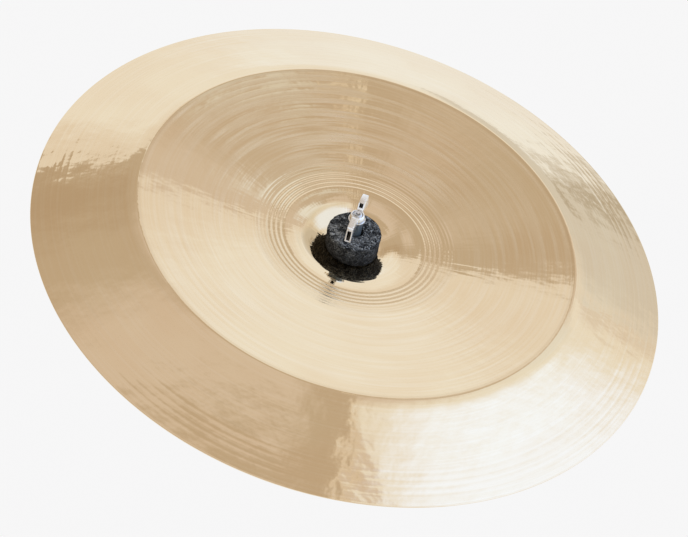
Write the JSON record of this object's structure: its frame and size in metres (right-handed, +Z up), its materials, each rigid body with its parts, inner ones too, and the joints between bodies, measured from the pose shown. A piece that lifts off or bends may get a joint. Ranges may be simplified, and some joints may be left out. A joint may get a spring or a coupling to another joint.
{
  "type": "china cymbal",
  "caption": "Bell-down china cymbal with a flared rim, loosely held between felt washers on a threaded rod by a wing nut over a plastic sleeve.",
  "frame": {"origin": "centre of the rod's lower end face", "axes": "+Z up along the threaded rod, +X towards the side that the cymbal hangs down on, +Y square to both, ten degrees round from the wing nut's far wing"},
  "size_m": [0.4042, 0.4064, 0.0728],
  "materials": {
    "bronze": "brilliant polish over hammering, with turned grooves",
    "chrome": "bright chrome plate",
    "zinc_plate": "bright zinc plate",
    "grey_felt": "pressed wool felt, dark grey",
    "black_plastic": "black nylon"
  },
  "bodies": {
    "rod": {"rod": "zinc_plate", "seat_nut": "zinc_plate", "sleeve": "black_plastic"},
    "cup_washer": {"cup_washer": "chrome"},
    "lower_felt": {"lower_felt": "grey_felt"},
    "upper_felt": {"upper_felt": "grey_felt"},
    "cymbal": {"cymbal": "bronze"},
    "nut_washer": {"nut_washer": "chrome"},
    "wing_nut": {"wing_nut": "chrome"}
  },
  "joints": [
    {"name": "cup_washer_turn", "type": "hinge", "parent": "rod", "child": "cup_washer", "pos_m": [0, 0, 0.0153], "axis": [0, 0, 1], "continuous": true},
    {"name": "cymbal_lift", "type": "slide", "parent": "cup_washer", "child": "lower_felt", "axis": [0, 0, 1], "range_m": [0, 0.0095]},
    {"name": "cymbal_rock", "type": "hinge", "parent": "lower_felt", "child": "upper_felt", "pos_m": [0, 0, 0.0318], "axis": [0, 1, 0], "range_deg": [-12, 0], "deforming": ["lower_felt", "upper_felt"]},
    {"name": "cymbal_spin", "type": "hinge", "parent": "upper_felt", "child": "cymbal", "pos_m": [0, 0, 0.0318], "axis": [0.1045, 0, 0.9945], "continuous": true},
    {"name": "wing_nut_rise", "type": "slide", "parent": "rod", "child": "nut_washer", "axis": [0, 0, 1], "range_m": [0, 0.005]},
    {"name": "wing_nut_turn", "type": "hinge", "parent": "nut_washer", "child": "wing_nut", "pos_m": [0, 0, 0.0594], "axis": [0, 0, 1], "range_deg": [0, 1800]}
  ],
  "couplings": [
    {"joint": "wing_nut_rise", "follows": "wing_nut_turn", "m_per_rad": 0.00015915}
  ]
}
